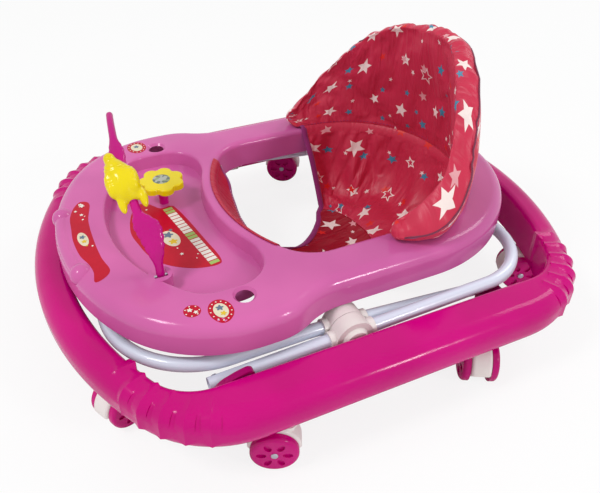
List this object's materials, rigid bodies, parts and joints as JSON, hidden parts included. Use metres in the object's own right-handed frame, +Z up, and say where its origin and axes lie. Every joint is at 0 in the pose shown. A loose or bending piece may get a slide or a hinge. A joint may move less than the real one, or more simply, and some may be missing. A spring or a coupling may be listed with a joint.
{
  "type": "baby walker",
  "caption": "Folding baby walker: oval base ring on swivel casters, crossed tube frame, play tray with toys, fabric sling seat and padded back.",
  "frame": {"origin": "on the floor, under the middle of the base ring", "axes": "+Z up, +Y towards the back rest, -Y towards the play tray, +X to the child's left"},
  "size_m": [0.5841, 0.684, 0.336],
  "materials": {
    "ring_plastic": "glossy blow-moulded",
    "bush_nylon": "smooth",
    "socket_plastic": "moulded",
    "frame_paint": "powder coated, semi-gloss",
    "pin_steel": "zinc plated",
    "cream_plastic": "moulded, satin",
    "tray_plastic": "glossy injection-moulded",
    "bar_plastic": "glossy, translucent look",
    "yellow_plastic": "glossy",
    "insert_print": "printed disc",
    "wheel_plastic": "moulded",
    "seat_fabric": "coated woven print"
  },
  "bodies": {
    "base": {"base_ring": "ring_plastic", "caster_bushes": "bush_nylon", "hinge_sockets": "socket_plastic", "slide_guides": "socket_plastic"},
    "lower_frame": {"lower_frame_clamps": "cream_plastic", "lower_frame_tube": "frame_paint", "lower_hinge_pins": "pin_steel"},
    "upper_frame": {"cross_rivets": "pin_steel", "upper_frame_clamps": "cream_plastic", "upper_frame_tube": "frame_paint", "upper_slide_pins": "pin_steel"},
    "tray": {"back_pad": "seat_fabric", "dial_post": "bar_plastic", "seat_sling": "seat_fabric", "toy_bar_pin": "pin_steel", "tray_front_rails": "tray_plastic", "tray_saddle_clips": "cream_plastic", "tray_top": "tray_plastic"},
    "dial": {"dial_insert": "insert_print", "flower_dial": "yellow_plastic"},
    "bar": {"toy_bar": "bar_plastic"},
    "animal": {"toy_animal": "yellow_plastic"},
    "front_left_swivel": {"caster_front_left_hood": "cream_plastic", "caster_front_left_stem": "pin_steel"},
    "front_left_wheels": {"caster_front_left_axle": "pin_steel", "caster_front_left_wheels": "wheel_plastic"},
    "front_right_swivel": {"caster_front_right_hood": "cream_plastic", "caster_front_right_stem": "pin_steel"},
    "front_right_wheels": {"caster_front_right_axle": "pin_steel", "caster_front_right_wheels": "wheel_plastic"},
    "side_front_left_swivel": {"caster_side_front_left_hood": "cream_plastic", "caster_side_front_left_stem": "pin_steel"},
    "side_front_left_wheels": {"caster_side_front_left_axle": "pin_steel", "caster_side_front_left_wheels": "wheel_plastic"},
    "side_front_right_swivel": {"caster_side_front_right_hood": "cream_plastic", "caster_side_front_right_stem": "pin_steel"},
    "side_front_right_wheels": {"caster_side_front_right_axle": "pin_steel", "caster_side_front_right_wheels": "wheel_plastic"},
    "side_rear_left_swivel": {"caster_side_rear_left_hood": "cream_plastic", "caster_side_rear_left_stem": "pin_steel"},
    "side_rear_left_wheels": {"caster_side_rear_left_axle": "pin_steel", "caster_side_rear_left_wheels": "wheel_plastic"},
    "side_rear_right_swivel": {"caster_side_rear_right_hood": "cream_plastic", "caster_side_rear_right_stem": "pin_steel"},
    "side_rear_right_wheels": {"caster_side_rear_right_axle": "pin_steel", "caster_side_rear_right_wheels": "wheel_plastic"},
    "rear_left_swivel": {"caster_rear_left_hood": "cream_plastic", "caster_rear_left_stem": "pin_steel"},
    "rear_left_wheels": {"caster_rear_left_axle": "pin_steel", "caster_rear_left_wheels": "wheel_plastic"},
    "rear_right_swivel": {"caster_rear_right_hood": "cream_plastic", "caster_rear_right_stem": "pin_steel"},
    "rear_right_wheels": {"caster_rear_right_axle": "pin_steel", "caster_rear_right_wheels": "wheel_plastic"}
  },
  "joints": [
    {"name": "front_left_swivel_turn", "type": "hinge", "parent": "base", "child": "front_left_swivel", "pos_m": [0.142, -0.297, 0.058], "axis": [0, 0, 1], "continuous": true},
    {"name": "front_left_wheel_roll", "type": "hinge", "parent": "front_left_swivel", "child": "front_left_wheels", "pos_m": [0.13651, -0.28522, 0.0265], "axis": [-0.9063, -0.4226, 0], "continuous": true},
    {"name": "front_right_swivel_turn", "type": "hinge", "parent": "base", "child": "front_right_swivel", "pos_m": [-0.142, -0.297, 0.058], "axis": [0, 0, 1], "continuous": true},
    {"name": "front_right_wheel_roll", "type": "hinge", "parent": "front_right_swivel", "child": "front_right_wheels", "pos_m": [-0.13755, -0.28478, 0.0265], "axis": [-0.9397, 0.342, 0], "continuous": true},
    {"name": "side_front_left_swivel_turn", "type": "hinge", "parent": "base", "child": "side_front_left_swivel", "pos_m": [0.264, -0.137, 0.058], "axis": [0, 0, 1], "continuous": true},
    {"name": "side_front_left_wheel_roll", "type": "hinge", "parent": "side_front_left_swivel", "child": "side_front_left_wheels", "pos_m": [0.25871, -0.14888, 0.0265], "axis": [0.9135, -0.4067, 0], "continuous": true},
    {"name": "side_front_right_swivel_turn", "type": "hinge", "parent": "base", "child": "side_front_right_swivel", "pos_m": [-0.258, -0.136, 0.058], "axis": [0, 0, 1], "continuous": true},
    {"name": "side_front_right_wheel_roll", "type": "hinge", "parent": "side_front_right_swivel", "child": "side_front_right_wheels", "pos_m": [-0.26026, -0.1232, 0.0265], "axis": [-0.9848, -0.1736, 0], "continuous": true},
    {"name": "side_rear_left_swivel_turn", "type": "hinge", "parent": "base", "child": "side_rear_left_swivel", "pos_m": [0.245, 0.128, 0.058], "axis": [0, 0, 1], "continuous": true},
    {"name": "side_rear_left_wheel_roll", "type": "hinge", "parent": "side_rear_left_swivel", "child": "side_rear_left_wheels", "pos_m": [0.25648, 0.1219, 0.0265], "axis": [0.4695, 0.8829, 0], "continuous": true},
    {"name": "side_rear_right_swivel_turn", "type": "hinge", "parent": "base", "child": "side_rear_right_swivel", "pos_m": [-0.259, 0.108, 0.058], "axis": [0, 0, 1], "continuous": true},
    {"name": "side_rear_right_wheel_roll", "type": "hinge", "parent": "side_rear_right_swivel", "child": "side_rear_right_wheels", "pos_m": [-0.2655, 0.09674, 0.0265], "axis": [0.866, -0.5, 0], "continuous": true},
    {"name": "rear_left_swivel_turn", "type": "hinge", "parent": "base", "child": "rear_left_swivel", "pos_m": [0.142, 0.297, 0.058], "axis": [0, 0, 1], "continuous": true},
    {"name": "rear_left_wheel_roll", "type": "hinge", "parent": "rear_left_swivel", "child": "rear_left_wheels", "pos_m": [0.1359, 0.28552, 0.0265], "axis": [0.8829, -0.4695, 0], "continuous": true},
    {"name": "rear_right_swivel_turn", "type": "hinge", "parent": "base", "child": "rear_right_swivel", "pos_m": [-0.142, 0.297, 0.058], "axis": [0, 0, 1], "continuous": true},
    {"name": "rear_right_wheel_roll", "type": "hinge", "parent": "rear_right_swivel", "child": "rear_right_wheels", "pos_m": [-0.13864, 0.28444, 0.0265], "axis": [0.9659, 0.2588, 0], "continuous": true},
    {"name": "lower_frame_fold", "type": "hinge", "parent": "base", "child": "lower_frame", "pos_m": [0, 0.16, 0.0795], "axis": [-1, 0, 0], "range_deg": [0, 20]},
    {"name": "cross_fold", "type": "hinge", "parent": "lower_frame", "child": "upper_frame", "pos_m": [0, -0.036, 0.098], "axis": [-1, 0, 0], "range_deg": [-40, 0]},
    {"name": "tray_level", "type": "hinge", "parent": "upper_frame", "child": "tray", "pos_m": [0, 0.23, 0.10665], "axis": [-1, 0, 0], "range_deg": [0, 20]},
    {"name": "dial_spin", "type": "hinge", "parent": "tray", "child": "dial", "pos_m": [-0.06, -0.165, 0.168], "axis": [0, 0, 1], "continuous": true},
    {"name": "bar_swing", "type": "hinge", "parent": "tray", "child": "bar", "pos_m": [0.101, -0.214, 0.157], "axis": [0, 1, 0], "range_deg": [-37, 10]},
    {"name": "animal_spin", "type": "hinge", "parent": "bar", "child": "animal", "pos_m": [0.03952, -0.22254, 0.24324], "axis": [0.7986, 0, -0.6018], "continuous": true}
  ],
  "couplings": [
    {"joint": "cross_fold", "follows": "lower_frame_fold", "ratio": -2},
    {"joint": "tray_level", "follows": "lower_frame_fold", "ratio": 1}
  ]
}
